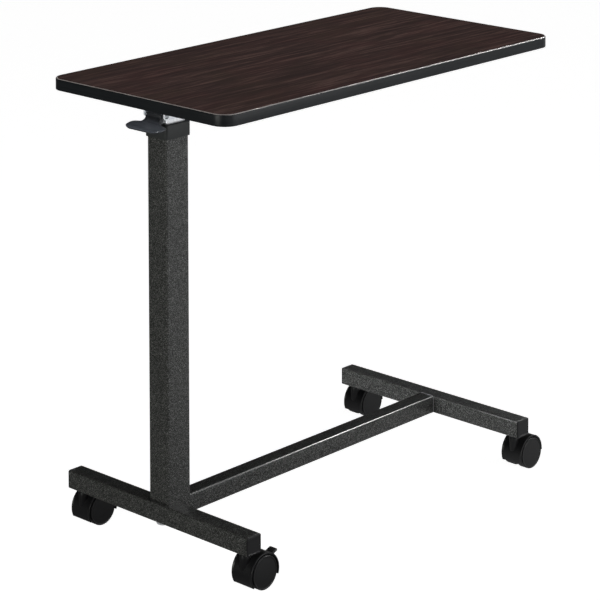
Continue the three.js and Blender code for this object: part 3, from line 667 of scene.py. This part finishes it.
# ------------------------------------------------------------------ casters
def caster(where, brake):
    wlo, whi = mm_box(f"caster_wheel_{where}_b")
    alo, ahi = mm_box(f"caster_wheel_{where}_a")
    wx, wz, R = (wlo.x + whi.x) / 2, 25.0, 25.0
    wy = (alo.y + whi.y) / 2
    Y0, Y1 = 5.0, 20.5
    # wheels: tread with a soft crown, domed cover with two shallow moulded steps
    for tag, s in (("a", -1), ("b", 1)):
        prof = [(3.1, Y0), (20.0, Y0), (20.6, Y0 + 0.5), (23.4, Y0 + 0.5)] + [(23.6 + 1.4 * math.sin(math.radians(a)), Y0 + 1.9 - 1.4 * math.cos(math.radians(a))) for a in (0, 22, 45, 67, 90)]
        prof += [(24.2 + 0.8 * math.cos(math.radians(a)), Y1 - 0.85 + 0.8 * math.sin(math.radians(a))) for a in (0, 22, 45, 67, 90)]
        prof += [(23.6, Y1 - 0.05), (23.1, Y1 - 0.45), (22.3, Y1 - 0.7), (21.2, Y1 - 0.62), (19.4, Y1 - 0.5), (16.5, Y1 - 0.36), (12.5, Y1 - 0.2), (8.5, Y1 - 0.1), (4.2, Y1 - 0.03), (0, Y1)]
        prof += [(0, Y1 - 3.4), (3.1, Y1 - 3.4), (3.1, Y0)]
        prof = [(r, wy + s * p) for r, p in prof[:-1]]
        # hub pole points are kept; the bore closes on itself
        verts, faces = lathe(prof, "Y", (wz, wx), 72, closed=True, a0=0.0)
        piece(f"wheel_{where}_{tag}", (verts, faces), "wheel_plastic", [f"caster_wheel_{where}_{tag}"], sharp=40)
    # fender: a curved shell over both wheels with a small bead along each rim
    RO, RI = 29.3, 27.4
    half = Y1 - 0.3
    start, stop = {"column_front": (-19, 214), "column_rear": (-16, 208)}.get(where, (-2, 206))
    taper = 0.0 if brake else 2.2
    cross = [(-half, RI), (-half, RO - 0.2), (-half + 0.15, RO + 0.22), (-half + 0.6, RO + 0.36), (-half + 1.15, RO + 0.22), (-half + 1.5, RO), (-half + 4.5, RO)]
    cross += [(0.0, RO)]
    cross = cross + [(-y, r) for y, r in reversed(cross[:-1])]
    secs = []
    a0, a1 = math.radians(start), math.radians(stop)
    gap = (math.radians(6), math.radians(47)) if brake else None
    steps = 72

    def arc_shell(b0, b1, section, count):
        out = []
        for i in range(count + 1):
            a = b0 + (b1 - b0) * i / count
            thin = taper * max(0.0, min(1.0, (70 - math.degrees(a)) / 60))
            out.append([(wx + q * math.cos(a), wy + y, wz + q * math.sin(a)) for y, q in ((y, max(r - thin, 25.7 if r < 28 else 26.9)) for y, r in section)])
        return loft(out)

    parts = []
    if brake:
        g0, g1 = gap
        parts.append(arc_shell(a0, g0, cross, 8))
        parts.append(arc_shell(g1, a1, cross, 54))
        left = [(y, r) for y, r in cross if y < -8.5]
        left = left + [(-7.9, RO), (-7.9, RI)]
        parts.append(arc_shell(g0, g1, left, 14))
        parts.append(arc_shell(g0, g1, [(-y, r) for y, r in reversed(left)], 14))
    else:
        parts.append(arc_shell(a0, a1, cross, steps))
    # middle web between the wheels, forked for the pedal on a braked caster
    WR = RI + 0.2 - taper * 0.75

    def plate_radius(a):
        return 24.4 if brake and 0 < math.degrees(a) < 60 else WR

    web = []
    for i in range(73):
        a = a0 + 0.3 + (a1 - 0.05 - a0 - 0.3) * i / 72
        web.append((wx + plate_radius(a) * math.cos(a), wz + plate_radius(a) * math.sin(a)))
    web += [(wx + 6.5 * math.cos(math.radians(200 + 140 * i / 10)), wz + 6.5 * math.sin(math.radians(200 + 140 * i / 10))) for i in range(11)]
    if brake:
        f0, f1 = math.radians(2), math.radians(72)
        inner = [(wx + 12 * math.cos(f0 + (f1 - f0) * i / 8), wz + 12 * math.sin(f0 + (f1 - f0) * i / 8)) for i in range(9)]
        b0, b1 = a0 + 0.3, a1 - 0.05
        outer_after = [(wx + WR * math.cos(f1 + (b1 - f1) * i / 28), wz + WR * math.sin(f1 + (b1 - f1) * i / 28)) for i in range(29)]
        hub = [(wx + 6.5 * math.cos(math.radians(200 + 140 * i / 10)), wz + 6.5 * math.sin(math.radians(200 + 140 * i / 10))) for i in range(11)]
        tail = [(wx + WR * math.cos(b0 + (f0 - b0) * i / 4), wz + WR * math.sin(b0 + (f0 - b0) * i / 4)) for i in range(5)]
        core_outline = outer_after + hub + tail + inner
        parts.append(flat_slab(core_outline, wy - 2.55, wy + 2.55))
        for s in (-1, 1):
            y = sorted((wy + s * 2.6, wy + s * 4.5))
            parts.append(flat_slab(web, y[0], y[1]))
    else:
        parts.append(flat_slab(web, wy - 4.5, wy + 4.5))
    # tower for the swivel stem, flowing into the fender
    slo, shi = mm_box(f"caster_stem_{where}")
    sx, sy = (slo.x + shi.x) / 2, (slo.y + shi.y) / 2
    tower = [(4.75, 53.8), (7.0, 53.8), (7.6, 53.5), (7.8, 52.9), (7.7, 46.0), (7.5, 42.0), (7.4, 38.0), (7.2, 34.0), (6.8, 31.6), (6.0, 30.6), (0, 30.6), (0, 35.6), (4.75, 35.6)]
    parts.append(lathe(tower, "Z", (sx, sy), 40, closed=True))
    piece(f"hood_{where}", joined(*parts), "hood_plastic", [f"caster_hood_{where}"], sharp=38)
    # swivel stem: flange and shank
    stem = [(0, 37), (4.2, 37), (4.5, 37.4), (4.5, 54.2), (7.6, 54.2), (8.0, 54.6), (8.0, 57.7), (7.6, 58.15), (5, 58.15), (5, 79.8), (4.2, 81.3), (0, 81.5)]
    piece(f"stem_{where}", lathe(stem, "Z", (sx, sy), 32), "steel_dark", [f"caster_stem_{where}"])
    keep(f"caster_axle_{where}", "steel", 0.2)
    if brake:
        arm = [(8.6, 42.2), (8.3, 39.4), (10.4, 37.4), (14.2, 36.6), (22.5, 36.6), (29.5, 39.4), (28.8, 43.0), (17, 43.6), (11.5, 43.9)]
        pad = [(26.4, 38.5), (28.0, 38.3), (39.0, 42.8), (39.6, 44.1), (38.7, 45.7), (37.1, 46.0), (25.7, 41.9)]
        shapes = [
            slab([(wx + x, z) for x, z in arm], wy - 2.3, wy + 2.3, 0.4),
            slab([(wx + x, z) for x, z in pad], wy - 6.8, wy + 6.8, 0.7),
        ]
        for t in (0.12, 0.34, 0.56, 0.78):
            x = 26.4 + (37.9 - 26.4) * t
            z = 42.05 + (45.95 - 42.05) * t
            shapes.append(bar("Y", wy - 6.0, wy + 6.0, 0.9, 1.1, 0.4, 0.3, (z, wx + x), 4, 3))
        piece(f"brake_pedal_{where}", joined(*shapes), "black_plastic", [f"caster_brake_{where}"], sharp=40)
        keep(f"caster_brake_pin_{where}", "steel", 0.2)


def flat_slab(outline, y0, y1):
    """Outline [(x, z)] as a plain slab across y; concave outlines are allowed."""
    n = len(outline)
    verts = [(x, y0, z) for x, z in outline] + [(x, y1, z) for x, z in outline]
    faces = [(i, (i + 1) % n, n + (i + 1) % n, n + i) for i in range(n)]
    bm = bmesh.new()
    vs = [bm.verts.new((x, 0, z)) for x, z in outline]
    bm.faces.new(vs)
    bmesh.ops.triangulate(bm, faces=bm.faces[:])
    bm.verts.index_update()
    tris = [tuple(v.index for v in f.verts) for f in bm.faces]
    bm.free()
    faces += tris + [tuple(n + i for i in reversed(t)) for t in tris]
    return verts, faces


for where, brake in (("column_front", True), ("column_rear", True), ("free_front", False), ("free_rear", False)):
    caster(where, brake)

# ------------------------------------------------------------------ floor, light, camera
def stage_mesh(name, verts, faces, material):
    me = bpy.data.meshes.new(name)
    me.from_pydata(verts, [], faces)
    ob = bpy.data.objects.new(name, me)
    scene.collection.objects.link(ob)
    me.materials.append(material)
    return ob


floor_mat = Mat("floor_pale")
t = floor_mat
t.t.nodes.remove(t.b)
seen = t.new("ShaderNodeBsdfDiffuse")
spots = t.noise(t.mapped((1, 1, 1)), 1.7, 3)
t.link(t.ramp(spots, [(0.3, (0.60, 0.60, 0.60, 1)), (0.7, (0.63, 0.63, 0.63, 1))]), seen.inputs["Color"])
glow = t.new("ShaderNodeEmission")
glow.inputs["Color"].default_value = (1, 1, 1, 1)
glow.inputs["Strength"].default_value = 0.95
lift_up = t.new("ShaderNodeAddShader")
t.link(seen.outputs[0], lift_up.inputs[0])
t.link(glow.outputs[0], lift_up.inputs[1])
# Away from the camera the floor only lights the table: bright towards +X -Y, dim towards -X +Y.
xyz = t.new("ShaderNodeSeparateXYZ")
t.link(t.co, xyz.inputs[0])
across = t.math("MULTIPLY_ADD", t.math("SUBTRACT", xyz.outputs["X"], xyz.outputs["Y"]), 0.125)
across.node.inputs[2].default_value = 0.5
bounce = t.new("ShaderNodeEmission")
t.link(t.grey(across, [(0.30, 0.07), (0.47, 0.09), (0.53, 0.25), (0.60, 0.42), (0.80, 0.42)]), bounce.inputs["Color"])
path = t.new("ShaderNodeLightPath")
blend = t.new("ShaderNodeMixShader")
t.link(path.outputs["Is Camera Ray"], blend.inputs[0])
t.link(bounce.outputs[0], blend.inputs[1])
t.link(lift_up.outputs[0], blend.inputs[2])
# Seen from below, the floor is clear, so the underside can be looked at.
below = t.new("ShaderNodeMixShader")
t.link(t.new("ShaderNodeNewGeometry").outputs["Backfacing"], below.inputs[0])
t.link(blend.outputs[0], below.inputs[1])
t.link(t.new("ShaderNodeBsdfTransparent").outputs[0], below.inputs[2])
t.link(below.outputs[0], t.out.inputs[0])
S = 40.0
stage_mesh("floor", [(-S, -S, 0), (S, -S, 0), (S, S, 0), (-S, S, 0)], [(0, 1, 2, 3)], floor_mat.m)

world = bpy.data.worlds.new("studio")
scene.world = world
world.use_nodes = True
wt = world.node_tree
wt.nodes.clear()
wout = wt.nodes.new("ShaderNodeOutputWorld")
coord = wt.nodes.new("ShaderNodeTexCoord")


def world_ramp(fac, stops):
    n = wt.nodes.new("ShaderNodeValToRGB")
    e = n.color_ramp.elements
    while len(e) < len(stops):
        e.new(0.5)
    for i, (p, v) in enumerate(stops):
        e[i].position = p
        e[i].color = (v, v, v, 1)
    wt.links.new(fac, n.inputs[0])
    return n.outputs[0]


def facing(direction):
    """0 to 1: how far the ray points along a direction."""
    d = wt.nodes.new("ShaderNodeVectorMath")
    d.operation = "DOT_PRODUCT"
    wt.links.new(coord.outputs["Generated"], d.inputs[0])
    d.inputs[1].default_value = Vector(direction).normalized()
    m = wt.nodes.new("ShaderNodeMath")
    m.operation = "MULTIPLY_ADD"
    wt.links.new(d.outputs["Value"], m.inputs[0])
    m.inputs[1].default_value = 0.5
    m.inputs[2].default_value = 0.5
    return m.outputs[0]


# Bright towards the front right, dim behind and overhead: the tops read darker than the long sides.
front = world_ramp(facing((0.35, -0.94, 0.0)), [(0.0, 0.03), (0.40, 0.045), (0.52, 0.12), (0.64, 0.30), (0.80, 0.70), (1.0, 0.82)])
height = world_ramp(facing((0, 0, 1)), [(0.0, 0.8), (0.50, 1.0), (0.56, 0.65), (0.66, 0.22), (0.80, 0.08), (1.0, 0.05)])
both = wt.nodes.new("ShaderNodeMix")
both.data_type, both.blend_type = "RGBA", "MULTIPLY"
both.inputs[0].default_value = 1.0
wt.links.new(front, both.inputs[6])
wt.links.new(height, both.inputs[7])
lit = wt.nodes.new("ShaderNodeBackground")
lit.inputs["Strength"].default_value = 1.0
wt.links.new(both.outputs[2], lit.inputs["Color"])
far_side = world_ramp(facing((0.6, 0.8, 0.0)), [(0.0, 0.0), (0.66, 0.0), (0.86, 0.90), (1.0, 0.90)])
far_low = world_ramp(facing((0, 0, 1)), [(0.0, 1.0), (0.52, 1.0), (0.62, 0.25), (0.72, 0.0), (1.0, 0.0)])
far = wt.nodes.new("ShaderNodeMix")
far.data_type, far.blend_type = "RGBA", "MULTIPLY"
far.inputs[0].default_value = 1.0
wt.links.new(far_side, far.inputs[6])
wt.links.new(far_low, far.inputs[7])
far_lit = wt.nodes.new("ShaderNodeBackground")
far_lit.inputs["Strength"].default_value = 1.0
wt.links.new(far.outputs[2], far_lit.inputs["Color"])
far_add = wt.nodes.new("ShaderNodeAddShader")
wt.links.new(lit.outputs[0], far_add.inputs[0])
wt.links.new(far_lit.outputs[0], far_add.inputs[1])
white = wt.nodes.new("ShaderNodeBackground")
white.inputs["Color"].default_value = (1, 1, 1, 1)
white.inputs["Strength"].default_value = 1.02
lp = wt.nodes.new("ShaderNodeLightPath")
ws = wt.nodes.new("ShaderNodeMixShader")
wt.links.new(lp.outputs["Is Camera Ray"], ws.inputs[0])
diffuse_far = wt.nodes.new("ShaderNodeMixShader")
wt.links.new(lp.outputs["Is Diffuse Ray"], diffuse_far.inputs[0])
wt.links.new(lit.outputs[0], diffuse_far.inputs[1])
wt.links.new(far_add.outputs[0], diffuse_far.inputs[2])
wt.links.new(diffuse_far.outputs[0], ws.inputs[1])
wt.links.new(white.outputs[0], ws.inputs[2])
wt.links.new(ws.outputs[0], wout.inputs[0])


def area(name, loc, target, size, watts, size_y=None, color=(1, 1, 1)):
    li = bpy.data.lights.new(name, "AREA")
    li.energy, li.size, li.color = watts, size, color
    if size_y:
        li.shape, li.size_y = "RECTANGLE", size_y
    ob = bpy.data.objects.new(name, li)
    ob.location = loc
    ob.rotation_mode = "QUATERNION"
    ob.rotation_quaternion = (Vector(target) - Vector(loc)).to_track_quat("-Z", "Y")
    scene.collection.objects.link(ob)
    ob.visible_camera = False
    return ob


def only_for(light, *names):
    """Light linking: this light reaches only the named pieces."""
    group = bpy.data.collections.new(light.name + "_receivers")
    for n in names:
        group.objects.link(bpy.data.objects[n])
    light.light_linking.receiver_collection = group
    return light


def sheen(light):
    """A soft box seen in reflections only."""
    light.visible_diffuse = False
    return light


area("key_front", (1.2, -3.0, 0.8), (0.0, 0.0, 0.35), 2.2, 36, color=(0.97, 0.98, 1.0))
area("fill_left", (-3.2, 0.2, 0.55), (0.0, 0.0, 0.3), 1.6, 38, color=(0.99, 1.0, 0.96))
only_for(area("overhead", (0.2, 0.3, 4.2), (0.0, 0.0, 0.0), 4.0, 26), "tabletop_pale_edge_line")
only_for(area("overhead_top", (0.2, 0.3, 4.2), (0.0, 0.0, 0.0), 4.0, 117), "tabletop_wood_face")
sheen(area("edge_strip", (2.16, -0.6, 1.98), (0.0, 0.0, 0.07), 1.3, 130, 0.7))
sheen(area("front_top", (-0.6, -1.9, 2.2), (0.0, 0.0, 0.1), 1.4, 36))
only_for(area("mast_fill", (-0.78, -0.30, 0.60), (-0.33, 0.0, 0.67), 0.22, 2.2, color=(0.96, 0.98, 1.0)), "inner_mast", "support_channel", "lever_pivot_pin")
only_for(area("paddle_fill", (-0.80, -0.32, 1.05), (-0.355, 0.0, 0.662), 0.18, 7.0, color=(0.96, 0.98, 1.0)), "lever_paddle")
only_for(area("bolt_fill", (-0.72, -0.45, 0.03), (-0.33, 0.0, 0.055), 0.2, 2.5), "column_bolt_foot_head")
only_for(area("foot_fill", (-0.75, 0.25, 0.55), (0.30, 0.0, 0.07), 0.5, 9, color=(0.96, 0.96, 1.0)), "foot_free_side", "weld_free_side")

cam = bpy.data.cameras.new("camera")
cam_ob = bpy.data.objects.new("camera", cam)
scene.collection.objects.link(cam_ob)
scene.camera = cam_ob
CAM = dict(x=-2828.67596, y=-2642.82739, z=1541.08084, yaw=0.74138, pitch=0.05388, roll=-0.00217, f=2458.49942, px=33.73365, py=-634.90826)
c = CAM
fwd = Vector((math.cos(c["yaw"]) * math.cos(c["pitch"]), math.sin(c["yaw"]) * math.cos(c["pitch"]), -math.sin(c["pitch"])))
right = Vector((math.sin(c["yaw"]), -math.cos(c["yaw"]), 0))
upv = right.cross(fwd)
r2 = right * math.cos(c["roll"]) + upv * math.sin(c["roll"])
u2 = upv * math.cos(c["roll"]) - right * math.sin(c["roll"])
cam_ob.rotation_mode = "QUATERNION"
cam_ob.rotation_quaternion = Matrix((r2, u2, -fwd)).transposed().to_quaternion()
cam_ob.location = Vector((c["x"], c["y"], c["z"])) * MM
cam.sensor_width = 36
cam.lens = c["f"] / 600 * 36
cam.clip_start, cam.clip_end = 0.05, 200
# The lens shift belongs to this one viewpoint: it is driven by the camera's distance from it, and is zero elsewhere.
spot = bpy.data.objects.new("viewpoint", None)
spot.location = cam_ob.location
scene.collection.objects.link(spot)
for prop, value in (("shift_x", -c["px"] / 600), ("shift_y", c["py"] / 600)):
    curve = cam.driver_add(prop)
    d = curve.driver
    d.type = "SUM"
    var = d.variables.new()
    var.type = "LOC_DIFF"
    var.targets[0].id = cam_ob
    var.targets[1].id = spot
    for mod in list(curve.modifiers):
        curve.modifiers.remove(mod)
    while len(curve.keyframe_points):
        curve.keyframe_points.remove(curve.keyframe_points[0])
    stops = ((-1.0, value), (0.1, value), (0.5, 0.0), (100.0, 0.0))
    curve.keyframe_points.add(len(stops))
    for kp, co in zip(curve.keyframe_points, stops):
        kp.co = co
        kp.interpolation = "LINEAR"
    curve.extrapolation = "CONSTANT"
    curve.update()

scene.view_settings.view_transform = "Standard"
scene.view_settings.look = "None"
